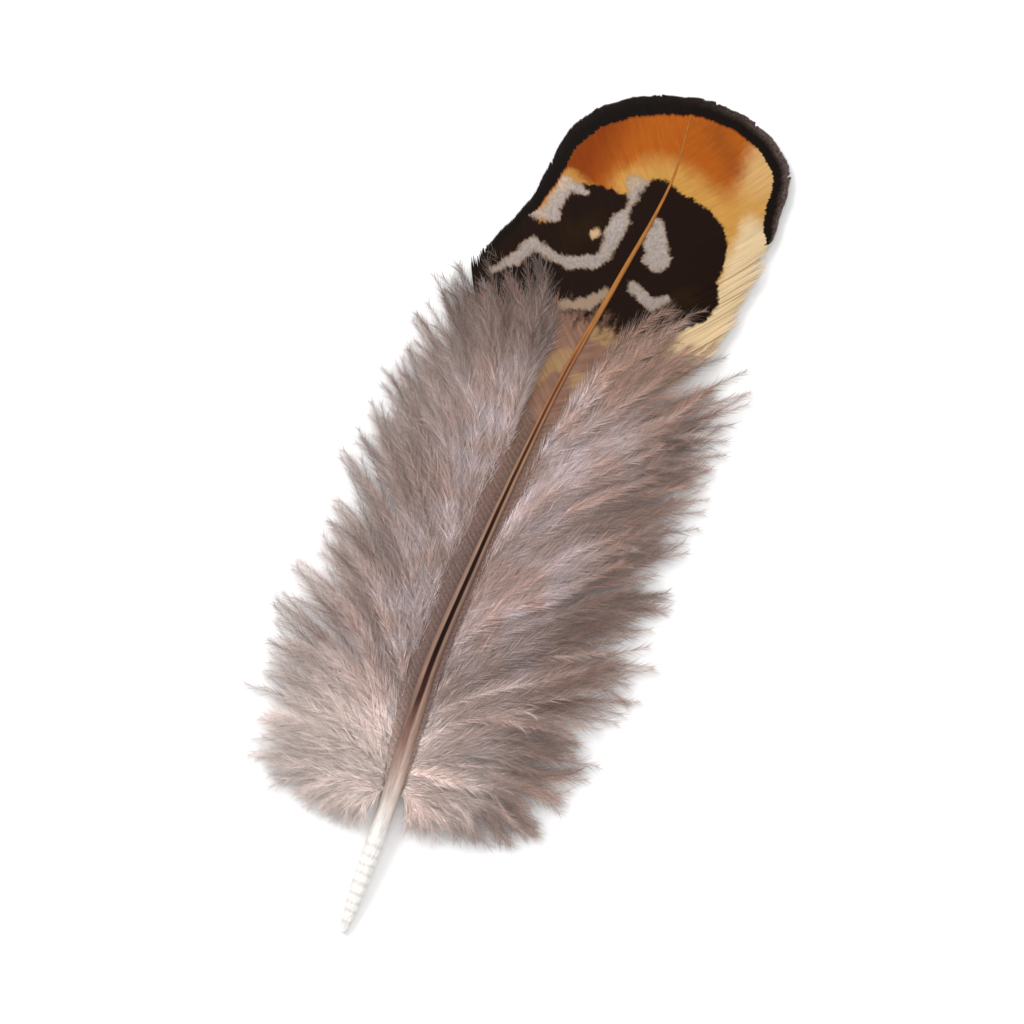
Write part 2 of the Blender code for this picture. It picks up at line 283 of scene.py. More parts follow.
class Graph:
    """Adds nodes to a tree. Values may be plain or output sockets."""

    def __init__(self, tree):
        self.tree = tree

    def feed(self, socket, value):
        if isinstance(value, bpy.types.NodeSocket):
            self.tree.links.new(value, socket)
        else:
            socket.default_value = value

    def fed(self, node, feeds):
        for key, value in feeds.items():
            self.feed(node.inputs[key], value)
        return node

    def node(self, kind, feeds=None, **settings):
        made = self.tree.nodes.new(kind)
        for name, value in settings.items():
            setattr(made, name, value)
        return self.fed(made, feeds or {})

    def out(self, kind, feeds=None, **settings):
        """The first output of a new node."""
        return self.node(kind, feeds, **settings).outputs[0]

    def maths(self, operation, *values):
        return self.out("ShaderNodeMath", dict(enumerate(values)), operation=operation)

    def vector(self, operation, *values, output="Vector"):
        feeds = dict(enumerate(values))
        return self.node("ShaderNodeVectorMath", feeds, operation=operation).outputs[output]

    def times(self, first, *more):
        """The product of several values."""
        for item in more:
            first = self.maths("MULTIPLY", first, item)
        return first

    def scaled(self, vector, factor):
        return self.out("ShaderNodeVectorMath", {0: vector, 3: factor}, operation="SCALE")

    def xyz(self, x=0.0, y=0.0, z=0.0):
        return self.out("ShaderNodeCombineXYZ", {0: x, 1: y, 2: z})

    def parts(self, vector):
        return self.node("ShaderNodeSeparateXYZ", {0: vector}).outputs[:]

    def remap(self, value, low, high, start=0.0, end=1.0, smooth=True):
        """value as it goes from low to high, turned into start to end and held there."""
        feeds = dict(enumerate((value, low, high, start, end)))
        kind = "SMOOTHSTEP" if smooth else "LINEAR"
        return self.out("ShaderNodeMapRange", feeds, interpolation_type=kind)

    def blend(self, share, first, second):
        """A colour that goes from first to second as share goes from 0 to 1."""
        made = self.node("ShaderNodeMix", {0: share}, data_type="RGBA")
        for socket, value in ((made.inputs[6], first), (made.inputs[7], second)):
            self.feed(socket, value if isinstance(value, bpy.types.NodeSocket) else (*value, 1.0))
        return made.outputs[2]

    def painted(self, colour, *coats):
        """A colour under coats of (share, colour), the last one on top."""
        for share, coat in coats:
            colour = self.blend(share, colour, coat)
        return colour

    def ramp(self, value, stops):
        """A colour from stops of (value, colour)."""
        low, high = stops[0][0], stops[-1][0]
        made = self.node("ShaderNodeValToRGB", {0: self.remap(value, low, high, smooth=False)})
        points = made.color_ramp.elements
        for at, _ in stops[1:-1]:
            points.new((at - low) / (high - low))
        for point, (_, colour) in zip(points, stops):
            point.color = (*colour, 1.0)
        return made.outputs[0]

    def noise(self, place, scale, detail=2.0, roughness=0.5):
        feeds = {"Vector": place, "Scale": scale, "Detail": detail, "Roughness": roughness}
        return self.out("ShaderNodeTexNoise", feeds)

    def attribute(self, name, output="Fac"):
        return self.node("ShaderNodeAttribute", attribute_name=name).outputs[output]

    def object_place(self):
        """The place on the piece, in millimetres."""
        place = self.node("ShaderNodeTexCoord").outputs["Object"]
        return self.vector("MULTIPLY", place, (1 / MM, 1 / MM, 1 / MM))

    def group(self, name, *values):
        """The output of a shared shader node group that is given these values."""
        return self.out("ShaderNodeGroup", dict(enumerate(values)), node_tree=shared_tree(name))

    def relief(self, height, depth, strength):
        """A normal for a surface that rises with height, by up to depth."""
        return self.out("ShaderNodeBump", {"Height": height, "Distance": depth, "Strength": strength})

    def named(self, name):
        return self.out("GeometryNodeInputNamedAttribute", {"Name": name})

    def store(self, geometry, name, value):
        feeds = {"Geometry": geometry, "Name": name, "Value": value}
        return self.out("GeometryNodeStoreNamedAttribute", feeds)

    def position(self):
        return self.out("GeometryNodeInputPosition")

    def guides(self, geometry):
        """Guide lines as curves whose normals stand upright."""
        line = self.out("GeometryNodeMeshToCurve", {0: geometry})
        return self.out("GeometryNodeSetCurveNormal", {0: line}, mode="Z_UP")

    def circle(self, sides):
        return self.out("GeometryNodeCurvePrimitiveCircle", {"Resolution": sides, "Radius": 1.0})

    def swept(self, line, section, scale):
        feeds = {"Curve": line, "Profile Curve": section, "Scale": scale, "Fill Caps": True}
        return self.out("GeometryNodeCurveToMesh", feeds)

    def finished(self, geometry, material, smooth=True):
        """A plain mesh with a material."""
        geometry = self.out("GeometryNodeRealizeInstances", {0: geometry})
        feeds = {"Geometry": geometry, "Shade Smooth": smooth}
        geometry = self.out("GeometryNodeSetShadeSmooth", feeds)
        return self.out("GeometryNodeSetMaterial", {"Geometry": geometry, "Material": material})


def new_tree(name, kind, inputs, output):
    """A node group from socket names and types: its graph, its inputs and its only output."""
    tree = bpy.data.node_groups.new(name, kind + "NodeTree")
    for way, sockets in (("INPUT", inputs), ("OUTPUT", output)):
        for label, socket in sockets.items():
            tree.interface.new_socket(name=label, in_out=way, socket_type="NodeSocket" + socket)
    enter = tree.nodes.new("NodeGroupInput")
    leave = tree.nodes.new("NodeGroupOutput")
    return Graph(tree), enter.outputs, leave.inputs[0]


def smooth(stations, at):
    """Values at the distances at, on a smooth curve through rows that start with a distance."""
    rows = np.asarray(stations, float)
    knots, values = rows[:, 0], rows[:, 1:]
    steps = np.diff(values, axis=0) / np.diff(knots)[:, None]
    inner = (values[2:] - values[:-2]) / (knots[2:] - knots[:-2])[:, None]
    slopes = np.vstack([steps[:1], inner, steps[-1:]])
    at = np.asarray(at, float)
    k = np.clip(np.searchsorted(knots, at, side="right") - 1, 0, len(knots) - 2)
    span = (knots[k + 1] - knots[k])[..., None]
    t = np.clip((at - knots[k])[..., None] / span, 0, 1)
    return (
        (2 * t**3 - 3 * t**2 + 1) * values[k]
        + (t**3 - 2 * t**2 + t) * slopes[k] * span
        + (3 * t**2 - 2 * t**3) * values[k + 1]
        + (t**3 - t**2) * slopes[k + 1] * span
    )


def along(edge, share):
    """Points a share of the way along a smooth line through an edge's points."""
    points = np.asarray(edge, float)
    steps = np.linalg.norm(np.diff(points[:, :2], axis=0), axis=1)
    walked = np.concatenate([[0], np.cumsum(steps)])
    return smooth(np.column_stack([walked, points]), np.asarray(share) * walked[-1])


def fade(values, start, end):
    """0 at start and 1 at end, with a soft way between them. start may be the higher one."""
    share = np.clip((np.asarray(values, float) - start) / (end - start), 0, 1)
    return share * share * (3 - 2 * share)


def unit(vectors):
    return vectors / np.linalg.norm(vectors, axis=-1, keepdims=True)


def heading(angles, side):
    """Flat unit vectors at angles from the way to the tip, out to a side."""
    return np.stack([side * np.sin(angles), np.cos(angles)], axis=-1)


def bezier(corners, share):
    """Points along Bezier curves. corners is a list of arrays, one row for each curve."""
    last = len(corners) - 1
    s = share[None, :, None]
    return sum(
        math.comb(last, k) * (1 - s) ** (last - k) * s**k * corner[:, None]
        for k, corner in enumerate(corners)
    )


def distance_walked(lines):
    """How far each point lies along its line."""
    return np.cumsum(np.linalg.norm(np.diff(lines, axis=1, prepend=lines[:, :1]), axis=2), axis=1)


def scattered(count, rng):
    """Shares from 0 to 1 in rising order, one for each barb and not quite evenly spaced."""
    return (np.arange(count) + rng.uniform(0.1, 0.9, count)) / count


def shaft_stations():
    """Rows of distance along, sideways place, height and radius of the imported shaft's rings, in mm."""
    ring_gap = 0.4
    points = np.array([v.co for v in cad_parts["shaft"].data.vertices]) / MM
    points = points[np.argsort(points[:, 1])]
    cuts = np.flatnonzero(np.diff(points[:, 1]) > ring_gap) + 1
    rows = []
    for ring in np.split(points, cuts):
        middle = (ring.min(0) + ring.max(0)) / 2
        radius = np.linalg.norm(ring - middle, axis=1).max()
        rows.append((middle[1], middle[0], middle[2], radius))
    return np.array(rows)


SHAFT = shaft_stations()


def beside_shaft(y, side, inset):
    """Points on the shaft's side at distances y, a share inset of its radius out from its middle."""
    rows = smooth(SHAFT, y)
    return np.stack([rows[..., 0] + side * inset * rows[..., 2], y, rows[..., 1]], axis=-1)


def vane_top(x, y):
    """The height of the vanes at places on them."""
    rows = smooth(SHAFT, y)
    fall = np.clip(np.abs(x - rows[..., 0]) / VANE_REACH, 0, 1) ** VANE_FALL
    return rows[..., 1] + ((VANE_EDGE_HEIGHT + VANE_TIP_HEIGHT) / 2 - rows[..., 1]) * fall


def new_lines(name, lines, values):
    """A mesh of open lines, from an array of points for each line, with named values at each point."""
    count, steps = lines.shape[:2]
    starts = np.arange(count)[:, None] * steps + np.arange(steps - 1)
    edges = np.stack([starts, starts + 1], axis=-1).reshape(-1, 2)
    mesh = bpy.data.meshes.new(name)
    mesh.from_pydata((lines.reshape(-1, 3) * MM).tolist(), edges.tolist(), [])
    for label, data in values.items():
        data = np.asarray(data, np.float32)
        is_vector = data.ndim == 3
        kind, field = ("FLOAT_VECTOR", "vector") if is_vector else ("FLOAT", "value")
        shape = (count, steps, 3) if is_vector else (count, steps)
        attribute = mesh.attributes.new(label, kind, "POINT")
        attribute.data.foreach_set(field, np.ascontiguousarray(np.broadcast_to(data, shape)).ravel())
    return mesh


def grow(name, guides, tree, settings):
    """Runs a node tree on guide lines and returns the plain mesh object that it makes."""
    carrier = bpy.data.objects.new(name + "_guides", guides)
    bpy.context.scene.collection.objects.link(carrier)
    modifier = carrier.modifiers.new("grow", "NODES")
    modifier.node_group = tree
    for item in tree.interface.items_tree:
        if item.in_out == "INPUT" and item.name in settings:
            modifier[item.identifier] = settings[item.name]
    bpy.context.view_layer.update()
    evaluated = carrier.evaluated_get(bpy.context.evaluated_depsgraph_get())
    mesh = bpy.data.meshes.new_from_object(evaluated)
    carrier.modifiers.remove(modifier)
    bpy.data.objects.remove(carrier)
    if not mesh.polygons:
        raise RuntimeError(f"nothing grew for {name}")
    mesh.name = name
    piece = bpy.data.objects.new(name, mesh)
    bpy.context.scene.collection.objects.link(piece)
    return piece


def map_from_above(piece):
    """A UV map that looks straight down on the piece, so that what lies together shares a colour."""
    mesh = piece.data
    points = np.zeros(len(mesh.vertices) * 3, np.float32)
    mesh.vertices.foreach_get("co", points)
    flat = points.reshape(-1, 3)[:, :2]
    corners = np.zeros(len(mesh.loops), np.int32)
    mesh.loops.foreach_get("vertex_index", corners)
    low, high = flat.min(0), flat.max(0)
    layer = mesh.uv_layers.new(name="OFBake")
    layer.data.foreach_set("uv", ((flat - low) / (high - low).max())[corners].ravel())


def finish_piece(piece, node):
    map_from_above(piece)
    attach(piece, BODY)
    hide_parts(node)


def new_material(name):
    """A material, its graph and its shader."""
    made = bpy.data.materials.new(name)
    made.use_nodes = True
    return made, Graph(made.node_tree), made.node_tree.nodes["Principled BSDF"]


def ribbon_tree():
    """Sweeps a slim lens along each guide line. The lines give their own half width and tilt."""
    inputs = {"Geometry": "Geometry", "Flatness": "Float", "Sides": "Int", "Material": "Material"}
    graph, enter, leave = new_tree("Barb Ribbons", "Geometry", inputs, {"Geometry": "Geometry"})
    feeds = {"Curve": graph.guides(enter["Geometry"]), "Tilt": graph.named("tilt")}
    line = graph.out("GeometryNodeSetCurveTilt", feeds)
    squeezed = graph.vector("MULTIPLY", graph.position(), graph.xyz(1.0, enter["Flatness"], 1.0))
    feeds = {"Geometry": graph.circle(enter["Sides"]), "Position": squeezed}
    lens = graph.out("GeometryNodeSetPosition", feeds)
    swept = graph.swept(line, lens, graph.named("half_width"))
    graph.feed(leave, graph.finished(swept, enter["Material"], smooth=False))
    return graph.tree


def shaft_tree():
    """Sweeps a round section with a groove on top along the shaft's line."""
    inputs = {"Geometry": "Geometry", "Sides": "Int", "Groove Depth": "Float", "Material": "Material"}
    graph, enter, leave = new_tree("Grooved Shaft", "Geometry", inputs, {"Geometry": "Geometry"})
    groove_sharpness = -9.0
    across, crown, _ = graph.parts(graph.position())
    ring = graph.store(graph.circle(enter["Sides"]), "across", across)
    ring = graph.store(ring, "crown", graph.times(crown, -1.0))
    swept = graph.swept(graph.guides(enter["Geometry"]), ring, graph.named("thick"))
    across, crown = graph.named("across"), graph.named("crown")
    narrow = graph.maths("EXPONENT", graph.times(across, across, groove_sharpness))
    depth = graph.times(
        graph.maths("MAXIMUM", crown, 0.0), narrow, enter["Groove Depth"],
        graph.named("thick"), graph.named("grooved"),
    )
    feeds = {"Geometry": swept, "Offset": graph.xyz(z=graph.times(depth, -1.0))}
    solid = graph.out("GeometryNodeSetPosition", feeds)
    graph.feed(leave, graph.finished(solid, enter["Material"]))
    return graph.tree


def down_tree():
    """Grows fine barbules all along each downy barb, and the barb's own stalk."""
    lengths = ("Barbule Length", "Barbule Radius", "Barbule Spacing", "Splay", "Roll", "Ground")
    inputs = {"Geometry": "Geometry", **dict.fromkeys(lengths, "Float")}
    inputs |= {"Seed": "Int", "Material": "Material"}
    graph, enter, leave = new_tree("Downy Barbs", "Geometry", inputs, {"Geometry": "Geometry"})

    def random(low, high, offset):
        seed = graph.maths("ADD", enter["Seed"], float(offset))
        return graph.node("FunctionNodeRandomValue", {2: low, 3: high, "Seed": seed}).outputs[1]

    reach = graph.named("reach")
    line = graph.guides(enter["Geometry"])
    stalk = graph.swept(line, graph.circle(3), graph.named("stalk"))

    feeds = {"Curve": line, "Length": enter["Barbule Spacing"]}
    spots = graph.node("GeometryNodeCurveToPoints", feeds, mode="LENGTH").outputs
    points = graph.store(spots["Points"], "fleck", random(0.0, 1.0, 4))
    feeds = {"Primary Axis": spots["Tangent"], "Secondary Axis": (0.0, 0.0, 1.0)}
    turned = graph.out("FunctionNodeAxesToRotation", feeds, primary_axis="Z", secondary_axis="X")
    side = graph.times(graph.maths("MODULO", graph.out("GeometryNodeInputIndex"), 2.0), math.pi)
    roll = graph.maths("ADD", side, graph.times(random(-1.0, 1.0, 1), enter["Roll"]))
    forward = graph.remap(reach, 0.6, 1.0, 1.0, 1.1)
    off_barb = graph.times(enter["Splay"], random(0.5, 1.4, 2), forward)
    for angles in (graph.xyz(z=roll), graph.xyz(x=off_barb)):
        by = graph.out("FunctionNodeEulerToRotation", {0: angles})
        turned = graph.out("FunctionNodeRotateRotation", {0: turned, 1: by}, rotation_space="LOCAL")

    shape = graph.times(graph.named("growth"), graph.remap(reach, 0.8, 1.0, 1.0, 0.55))
    length = graph.times(shape, random(0.45, 1.25, 3), enter["Barbule Length"])
    radius = graph.times(enter["Barbule Radius"], graph.remap(reach, 0.5, 1.0, 1.0, 0.6))
    feeds = {"Vertices": 3, "Side Segments": 1, "Radius Top": 0.0, "Radius Bottom": 1.0, "Depth": 1.0}
    spike = graph.out("GeometryNodeMeshCone", feeds)
    spike = graph.store(spike, "tip", graph.parts(graph.position())[2])
    barbules = graph.out("GeometryNodeInstanceOnPoints", {
        "Points": points,
        "Selection": graph.out("FunctionNodeCompare", {"A": shape, "B": 0.05}),
        "Instance": spike,
        "Rotation": turned,
        "Scale": graph.xyz(radius, radius, length),
    })
    joined = graph.node("GeometryNodeJoinGeometry")
    for geometry in (barbules, stalk):
        graph.feed(joined.inputs[0], geometry)
    fluff = graph.out("GeometryNodeRealizeInstances", {0: joined.outputs[0]})
    x, y, z = graph.parts(graph.position())
    place = graph.xyz(x, y, graph.maths("MAXIMUM", z, enter["Ground"]))
    fluff = graph.out("GeometryNodeSetPosition", {"Geometry": fluff, "Position": place})
    graph.feed(leave, graph.finished(fluff, enter["Material"]))
    return graph.tree


def grain_group():
    """A fine grain, as a tone between Low and High. Stretch sets its fineness along each axis."""
    inputs = {"Place": "Vector", "Stretch": "Vector", "Low": "Float", "High": "Float"}
    graph, enter, leave = new_tree("Grain", "Shader", inputs, {"Tone": "Float"})
    grain = graph.noise(graph.vector("MULTIPLY", enter["Place"], enter["Stretch"]), 1.0)
    graph.feed(leave, graph.remap(grain, 0.35, 0.65, enter["Low"], enter["High"]))
    return graph.tree


def bar_group():
    """How far a place is from a bar with round ends, in millimetres, less than 0 inside it."""
    inputs = dict.fromkeys(("Place", "Start", "End"), "Vector")
    inputs |= {"Start Radius": "Float", "End Radius": "Float"}
    graph, enter, leave = new_tree("Bar Mark", "Shader", inputs, {"Distance": "Float"})
    way = graph.vector("SUBTRACT", enter["End"], enter["Start"])
    off = graph.vector("SUBTRACT", enter["Place"], enter["Start"])
    passed, whole = (graph.vector("DOT_PRODUCT", v, way, output="Value") for v in (off, way))
    share = graph.remap(graph.maths("DIVIDE", passed, whole), 0.0, 1.0, smooth=False)
    off = graph.vector("SUBTRACT", off, graph.scaled(way, share))
    gap = graph.vector("LENGTH", off, output="Value")
    radius = graph.remap(share, 0.0, 1.0, enter["Start Radius"], enter["End Radius"], smooth=False)
    graph.feed(leave, graph.maths("SUBTRACT", gap, radius))
    return graph.tree


def streak_group():
    """Fine lengthwise streaks that differ from barb to barb."""
    inputs = dict.fromkeys(("Strand", "Share", "Grain"), "Float")
    graph, enter, leave = new_tree("Barb Streaks", "Shader", inputs, {"Streak": "Float"})
    rows_apart = 91.0
    row = graph.times(enter["Strand"], rows_apart)
    place = graph.xyz(row, graph.times(enter["Share"], enter["Grain"]))
    graph.feed(leave, graph.noise(place, 1.0, 2.0, 0.6))
    return graph.tree


SHARED_TREES = {
    "Barb Ribbons": ribbon_tree,
    "Downy Barbs": down_tree,
    "Grain": grain_group,
    "Bar Mark": bar_group,
    "Barb Streaks": streak_group,
}


def shared_tree(name):
    """A node group that is built once, the first time that something asks for it."""
    return bpy.data.node_groups.get(name) or SHARED_TREES[name]()


def vane_material(settings):
    """Orange and gold inside a black edge, with white bars on a dark middle."""
    made, graph, shader = new_material("barred_vane")
    remap, times, blend = graph.remap, graph.times, graph.blend
    place = graph.vector("ADD", graph.object_place(), graph.attribute("shift", "Vector"))
    flat = graph.vector("MULTIPLY", place, (1.0, 1.0, 0.0))
    feeds = {"Vector": flat, "Scale": 1.1, "Detail": 3.0, "Roughness": 0.6}
    wobble = graph.node("ShaderNodeTexNoise", feeds).outputs[1]
    wobble = graph.vector("SUBTRACT", wobble, (0.5, 0.5, 0.5))
    flat = graph.vector("ADD", flat, graph.vector("MULTIPLY", wobble, (1.2, 1.2, 0.0)))
    x, y, _ = graph.parts(flat)
    streak = graph.group("Barb Streaks", graph.attribute("strand"), graph.attribute("share"), 3.0)

    def marked(bars, softness):
        """The distance to the nearest of these bars, with the joints between them rounded."""
        nearest = None
        for start, end, *radii in bars:
            distance = graph.group("Bar Mark", flat, (*start, 0.0), (*end, 0.0), *radii)
            if nearest is not None:
                distance = graph.maths("SMOOTH_MIN", nearest, distance, softness)
            nearest = distance
        return nearest

    # The band inside the black edge, from its rufous left end to its cream lower right
    dark, white = marked(DARK_MIDDLE, 0.9), marked(WHITE_BARS, 0.3)
    light_gold = blend(remap(y, 50.0, 54.0, 0.0, 0.3), settings.gold, settings.cream)
    right = times(remap(x, 8.8, 10.4), remap(y, 51.0, 48.5))
    low_right = times(remap(x, 5.0, 8.0), remap(y, 41.0, 38.0))
    band = graph.painted(
        settings.rufous,
        (remap(x, -7.5, -2.5), settings.orange),
        (times(remap(dark, 3.6, 0.8), remap(x, -5.5, -2.0)), settings.gold),
        (remap(x, 6.4, 8.8), light_gold),
        # Painted shadow of a fold, brown over the band
        (times(remap(marked(FOLD_SHADOW_STREAK, 0.1), 1.5, -0.5), 0.6), srgb(130, 66, 24)),
        (graph.maths("MAXIMUM", right, low_right), settings.cream),
        (times(remap(white, 1.2, 0.2), remap(x, 0.5, -1.0), 0.75), settings.gold),
    )
    band = graph.scaled(band, remap(streak, 0.25, 0.75, 0.86, 1.12, smooth=False))

    # The dark middle and the pale bars across it
    cloud = graph.maths("ADD", marked(RUSSET_CLOUD, 0.3), times(graph.noise(flat, 0.5), 3.0))
    middle = blend(remap(cloud, 3.0, 0.8), settings.dark, srgb(36, 22, 9))
    inside = remap(dark, 0.18, -0.18)
    pale = blend(times(remap(dark, -0.5, 0.9), 0.4), settings.white, srgb(206, 168, 116))
    dimmed = times(remap(y, 45.0, 38.5, 1.0, 0.86), remap(y, 46.0, 48.0, 1.0, 0.88))
    grain = graph.group("Grain", flat, (3.0, 3.0, 0.0), 0.84, 1.12)
    pale = graph.scaled(graph.scaled(pale, dimmed), grain)
    pale = blend(remap(white, -0.45, 0.1, 0.0, 0.6), pale, srgb(142, 112, 86))

    # The brown barbs below it, whose border is ragged and lies higher beside the shaft
    brown = blend(graph.noise(flat, 0.5), srgb(144, 110, 93), srgb(116, 84, 69))
    brown = blend(remap(marked(BUFF_PATCHES, 0.3), 0.35, -0.35), brown, srgb(152, 120, 86))
    brown = graph.scaled(brown, remap(streak, 0.3, 0.7, 0.72, 1.16, smooth=False))
    uneven = graph.noise(graph.vector("MULTIPLY", flat, (1.6, 0.5, 0.0)), 1.0)
    ragged = graph.maths("ADD", y, times(graph.maths("SUBTRACT", uneven, 0.5), 6.0))
    outward = remap(graph.maths("ABSOLUTE", x), 6.0, 10.0, 0.0, 3.0)
    ragged = graph.maths("ADD", ragged, outward)

    # The black edge, worn grey outside and on the right, with a thin brown line inside it
    rim = graph.attribute("rim")
    specks = graph.group("Grain", flat, (5.0, 5.0, 0.0), 0.4, 1.2)
    worn = times(remap(rim, 0.6, 0.1), remap(x, -2.0, 12.0, 0.05, 1.0), specks)
    fringe = times(remap(rim, 1.14, 0.99), remap(inside, 0.6, 0.2), remap(x, 9.0, 6.0))
    colour = graph.painted(
        band,
        (inside, middle),
        (remap(white, 0.22, -0.22), pale),
        (remap(ragged, 35.4, 32.4), brown),
        (remap(marked(CREAM_SPOT, 0.1), 0.25, -0.25), srgb(186, 152, 116)),
        (remap(marked(TAN_BAR, 0.1), 0.25, -0.25), srgb(142, 121, 102)),
        (fringe, srgb(118, 54, 18)),
        (remap(rim, 1.03, 0.95), blend(worn, settings.black, srgb(94, 78, 73))),
    )
    graph.fed(shader, {
        "Base Color": colour,
        "Roughness": remap(streak, 0.2, 0.8, 0.6, 0.75),
        "Normal": graph.relief(streak, 0.03 * MM, 0.5),
        "Specular IOR Level": 0.04,
    })
    return made


def shaft_material(settings):
    """Milky clear quill with faint cross ticks, then tan rachis with a dark line along the middle."""
    made, graph, shader = new_material("shaft_keratin")
    remap, times, maths = graph.remap, graph.times, graph.maths
    place = graph.object_place()
    y = graph.parts(place)[1]
    across, crown = graph.attribute("across"), graph.attribute("crown")
    edge = graph.ramp(y, (
        (-23.0, settings.quill), (-19.0, srgb(212, 201, 194)), (-15.0, srgb(182, 160, 149)),
        (-11.0, srgb(150, 124, 112)), (-5.0, settings.rib), (8.0, settings.rib),
        (18.0, srgb(154, 119, 94)), (26.0, srgb(152, 108, 78)), (36.0, settings.rachis),
        (57.0, srgb(168, 100, 38)),
    ))
    line = graph.ramp(y, (
        (-21.0, settings.quill), (-17.0, srgb(190, 172, 162)), (-12.0, srgb(136, 104, 94)),
        (-7.0, srgb(62, 34, 28)), (-2.0, settings.groove), (10.0, settings.groove),
        (20.0, srgb(66, 34, 22)), (29.0, srgb(108, 58, 28)), (35.0, settings.rachis),
        (57.0, settings.rachis),
    ))
    # The dark line lies a little left of the middle towards both its ends
    shifted = maths("MAXIMUM", remap(y, 6.0, 16.0, 0.0, 0.08), remap(y, -5.0, -12.0, 0.0, 0.3))
    off_line = maths("ABSOLUTE", maths("ADD", across, shifted))
    on_line = times(remap(off_line, 0.5, 0.22), remap(crown, 0.1, 0.5))
    # Painted light and shade: near the quill the left rib is darker and the right one lighter, to even
    # out the side light
    near_quill = times(remap(y, -3.0, -9.0), remap(y, -21.0, -16.0, 0.25, 1.0))
    painted_side_light = times(near_quill, remap(across, -0.2, 0.35, -0.26, 0.26))
    feeds = {"Vector": place, "Scale": 0.3, "Distortion": 3.5, "Detail": 2.0, "Detail Scale": 1.1}
    ticks = graph.node("ShaderNodeTexWave", feeds, bands_direction="Y").outputs["Fac"]
    ticks = times(remap(ticks, 0.5, 0.95), remap(y, -20.0, -23.0), 0.4)
    grain = graph.group("Grain", place, (6.0, 0.5, 6.0), 0.86, 1.08)
    edge = graph.scaled(edge, maths("ADD", 1.0, painted_side_light))
    base = graph.painted(edge, (on_line, line), (ticks, srgb(204, 194, 186)))
    graph.fed(shader, {
        "Base Color": graph.scaled(base, grain),
        "Roughness": remap(y, -20.0, 0.0, 0.25, 0.45),
        "Normal": graph.relief(maths("SUBTRACT", grain, ticks), 0.04 * MM, 0.4),
        "Specular IOR Level": 0.06,
    })
    return made


def down_material(name, settings, paleness):
    """Lilac-grey down, browner near the shaft and the vane and paler near the quill."""
    made, graph, shader = new_material(name)
    remap, times = graph.remap, graph.times
    place = graph.object_place()
    x, y, _ = graph.parts(place)
    labels = ("growth", "tip", "clump", "reach", "strand", "fleck")
    growth, tip, clump, reach, strand, fleck = (graph.attribute(label) for label in labels)
    outer = remap(graph.maths("ABSOLUTE", x), 6.0, 14.0, 0.0, 0.8)
    browner = graph.maths("ADD", outer, remap(clump, 0.3, 1.0, 0.0, 0.7))
    near_quill = times(remap(y, -3.0, -14.0, paleness, 1.0), remap(x, -2.0, 2.0, 1.0, 0.6))
    near_vane = graph.blend(remap(x, -4.0, 4.0), srgb(142, 104, 85), srgb(212, 164, 136))
    root = graph.ramp(y, (
        (-14.0, srgb(180, 154, 142)), (-6.0, srgb(140, 113, 107)), (8.0, srgb(134, 107, 100)),
        (16.0, srgb(140, 111, 100)), (22.0, srgb(148, 115, 98)),
    ))
    weave = graph.group("Grain", place, (5.0, 5.0, 0.0), 0.8, 1.2)
    root = graph.scaled(root, times(weave, remap(reach, 0.0, 0.3, 0.74, 1.0)))
    # Stalks have no fleck. They show as fine pale hairs beyond the bare roots
    stalk = times(remap(fleck, 0.002, 0.001), remap(growth, 0.4, 1.0, 0.0, 0.5))
    body = graph.painted(
        settings.lilac,
        (remap(graph.noise(place, 0.2), 0.4, 0.6), srgb(212, 178, 167)),
        (browner, settings.taupe),
        (remap(reach, 0.7, 1.0, 0.0, 0.35), settings.pale),
        (times(tip, 0.3), settings.pale),
        (near_quill, settings.pale),
        (remap(y, 23.0, 32.0, 0.0, 0.92), near_vane),
        (remap(x, 5.0, 12.0, 0.0, 0.7), srgb(186, 142, 122)),
        (remap(growth, 0.25, 0.02), root),
        (stalk, settings.pale),
        (remap(strand, 0.86, 1.0, 0.0, 0.5), settings.pale),
    )
    tone = times(
        remap(clump, 0.0, 1.0, 1.33, 0.75, smooth=False),
        remap(fleck, 0.0, 1.0, 0.55, 1.28, smooth=False),
        remap(strand, 0.0, 1.0, 0.68, 1.18, smooth=False),
        # Painted light: the lowest down is lightened where its own tufts shade it
        remap(y, -6.0, -15.0, 1.0, 1.15),
        # Painted light: the right side above the middle is lightened against the side light from the
        # left
        graph.maths("MINIMUM", remap(x, -3.0, 3.0, 1.0, 1.12), remap(y, -8.0, 0.0, 1.0, 1.12)),
        # Darker towards both outer edges; on the right this is painted shade from neighbouring feathers
        times(remap(x, 4.0, 10.0, 1.0, 0.86), remap(x, -9.0, -14.0, 1.0, 0.9)),
    )
    graph.fed(shader, {
        "Base Color": graph.scaled(body, tone),
        "Roughness": remap(strand, 0.0, 1.0, 0.6, 0.8),
        "Specular IOR Level": 0.12,
        "Sheen Weight": 0.4,
        "Sheen Roughness": 0.5,
    })
    return made


